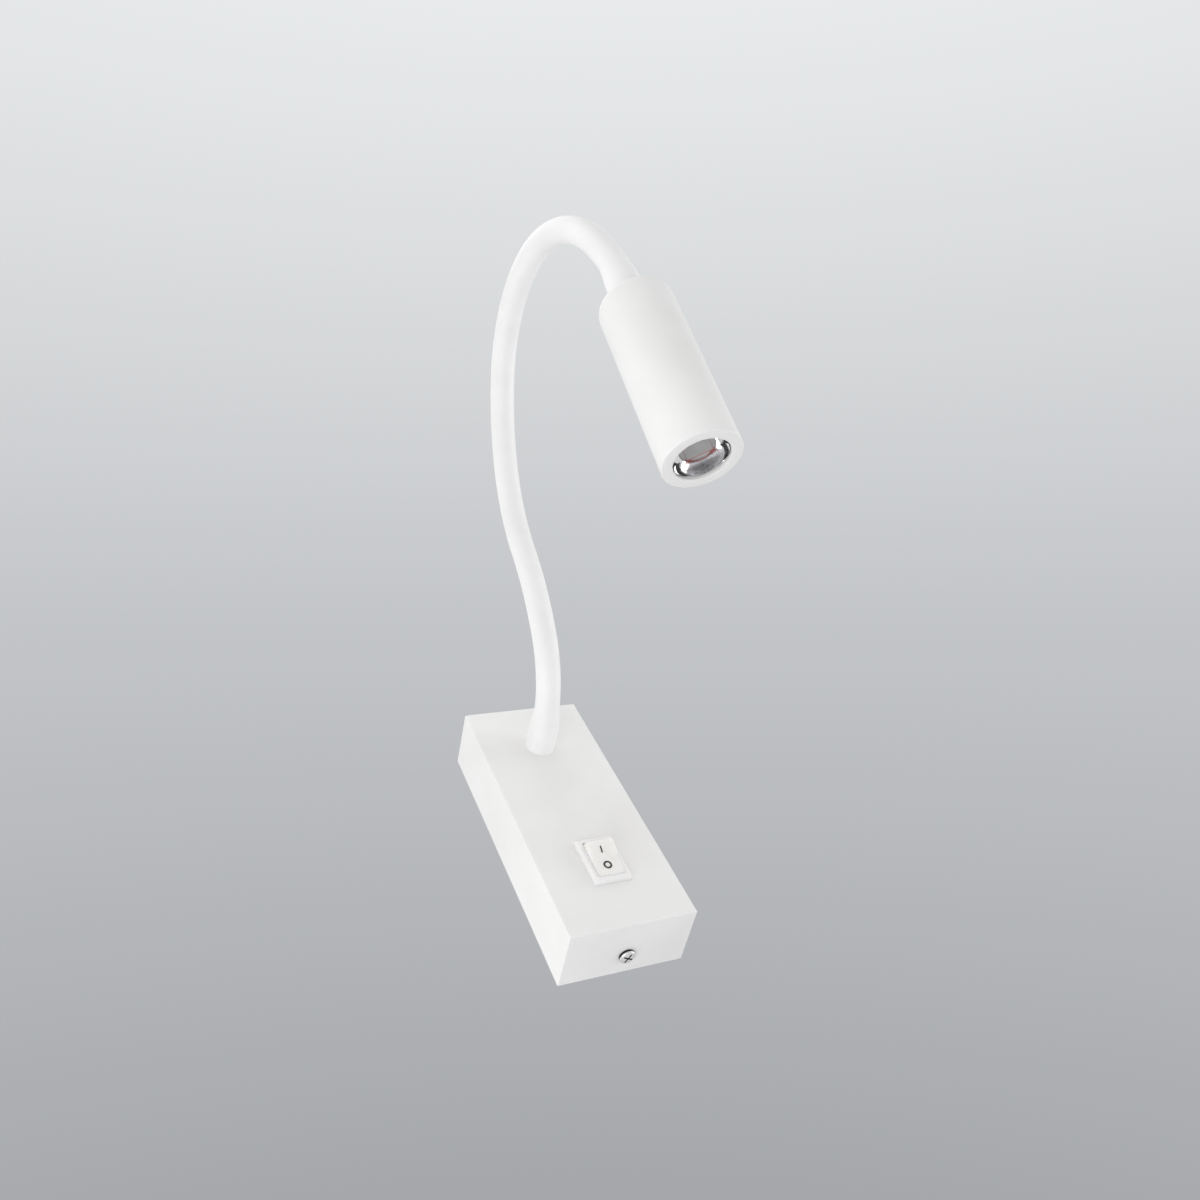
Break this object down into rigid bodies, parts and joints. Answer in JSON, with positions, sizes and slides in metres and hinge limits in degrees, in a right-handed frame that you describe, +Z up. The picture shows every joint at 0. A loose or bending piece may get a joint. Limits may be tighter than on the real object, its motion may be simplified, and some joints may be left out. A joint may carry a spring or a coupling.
{
  "type": "flexible wall light",
  "caption": "Wall-mounted reading light: a box base with a rocker switch, a bendable gooseneck arm and a slim cylindrical LED head with a lens.",
  "frame": {"origin": "middle of the base's back face, on the wall", "axes": "+Y into the wall, -Y out into the room, +Z up the wall, +X to the right seen from the room"},
  "size_m": [0.05, 0.2254, 0.2091],
  "materials": {
    "white_paint": "fine satin powder coat",
    "white_aluminium": "fine satin powder coat over aluminium",
    "sleeve_silicone": "smooth satin silicone",
    "switch_white": "moulded, soft gloss",
    "chrome": "polished",
    "zinc_steel": "zinc plated",
    "brass": "turned or stamped",
    "bush_rubber": "matt",
    "block_plastic": "moulded",
    "case_plastic": "moulded, fine texture",
    "board_green": "solder mask",
    "part_black": "moulded",
    "wire_brown": "extruded insulation",
    "lead_red": "extruded insulation",
    "lens_clear": "polished clear optic",
    "reflector_silver": "moulded and metallised",
    "bare_aluminium": "turned",
    "board_red": "lacquered metal-core board",
    "led_ceramic": "pale ceramic package under clear gel"
  },
  "bodies": {
    "base": {"base_cover": "white_paint", "wall_bracket": "zinc_steel", "bracket_tabs": "zinc_steel", "cover_screws": "chrome", "cable_bush": "bush_rubber", "terminal_block": "block_plastic", "terminal_tubes": "brass", "terminal_screws": "zinc_steel", "driver_case": "case_plastic", "driver_lid": "case_plastic", "driver_board": "board_green", "driver_parts": "part_black", "earth_screw": "brass", "mains_wires": "wire_brown", "arm_nipple": "brass", "arm_washer": "zinc_steel", "arm_nut": "zinc_steel", "switch_body": "switch_white", "switch_blades": "brass", "arm_sleeve_0": "sleeve_silicone", "arm_hose_0": "zinc_steel", "arm_leads_0": "lead_red"},
    "arm_1": {"arm_sleeve_1": "sleeve_silicone", "arm_hose_1": "zinc_steel", "arm_leads_1": "lead_red"},
    "arm_2": {"arm_sleeve_2": "sleeve_silicone", "arm_hose_2": "zinc_steel", "arm_leads_2": "lead_red"},
    "arm_3": {"arm_sleeve_3": "sleeve_silicone", "arm_hose_3": "zinc_steel", "arm_leads_3": "lead_red"},
    "arm_4": {"arm_sleeve_4": "sleeve_silicone", "arm_hose_4": "zinc_steel", "arm_leads_4": "lead_red"},
    "arm_5": {"arm_sleeve_5": "sleeve_silicone", "arm_hose_5": "zinc_steel", "arm_leads_5": "lead_red"},
    "arm_6": {"arm_sleeve_6": "sleeve_silicone", "arm_hose_6": "zinc_steel", "arm_leads_6": "lead_red"},
    "arm_7": {"arm_sleeve_7": "sleeve_silicone", "arm_hose_7": "zinc_steel", "arm_leads_7": "lead_red"},
    "head": {"head_shell": "white_aluminium", "head_ring": "white_aluminium", "lens": "lens_clear", "lens_holder": "reflector_silver", "led_board": "board_red", "led_chip": "led_ceramic", "heat_sink": "bare_aluminium", "board_screws": "zinc_steel", "head_nipple": "brass", "head_nut": "zinc_steel", "arm_sleeve_8": "sleeve_silicone", "arm_hose_8": "zinc_steel", "arm_leads_8": "lead_red"},
    "rocker": {"switch_rocker": "switch_white"},
    "contact": {"switch_contact": "brass"}
  },
  "joints": [
    {"name": "arm_turn_1", "type": "hinge", "parent": "base", "child": "arm_1", "pos_m": [0, -0.035, 0.036], "axis": [0, 0, 1], "range_deg": [-25, 25]},
    {"name": "arm_bend_2", "type": "hinge", "parent": "arm_1", "child": "arm_2", "pos_m": [0, -0.06905, 0.05224], "axis": [-1, 0, 0], "range_deg": [-20, 25]},
    {"name": "arm_turn_3", "type": "hinge", "parent": "arm_2", "child": "arm_3", "pos_m": [0, -0.08817, 0.08603], "axis": [0, 0.9397, 0.342], "range_deg": [-25, 25]},
    {"name": "arm_bend_4", "type": "hinge", "parent": "arm_3", "child": "arm_4", "pos_m": [0, -0.10949, 0.11825], "axis": [-1, 0, 0], "range_deg": [-20, 25]},
    {"name": "arm_turn_5", "type": "hinge", "parent": "arm_4", "child": "arm_5", "pos_m": [0, -0.14252, 0.13849], "axis": [0, 0.342, 0.9397], "range_deg": [-25, 25]},
    {"name": "arm_bend_6", "type": "hinge", "parent": "arm_5", "child": "arm_6", "pos_m": [0, -0.18077, 0.13883], "axis": [-1, 0, 0], "range_deg": [-20, 25]},
    {"name": "arm_turn_7", "type": "hinge", "parent": "arm_6", "child": "arm_7", "pos_m": [0, -0.21047, 0.11478], "axis": [0, -0.8572, 0.515], "range_deg": [-25, 25]},
    {"name": "arm_bend_8", "type": "hinge", "parent": "arm_7", "child": "head", "pos_m": [0, -0.22043, 0.07759], "axis": [-1, 0, 0], "range_deg": [-20, 25]},
    {"name": "rocker_tip", "type": "hinge", "parent": "base", "child": "rocker", "pos_m": [0, -0.023, -0.03], "axis": [-1, 0, 0], "range_deg": [0, 28]},
    {"name": "contact_tip", "type": "hinge", "parent": "base", "child": "contact", "pos_m": [0, -0.01675, -0.03], "axis": [1, 0, 0], "range_deg": [0, 16]}
  ],
  "couplings": [
    {"joint": "contact_tip", "follows": "rocker_tip", "ratio": 0.57143}
  ]
}
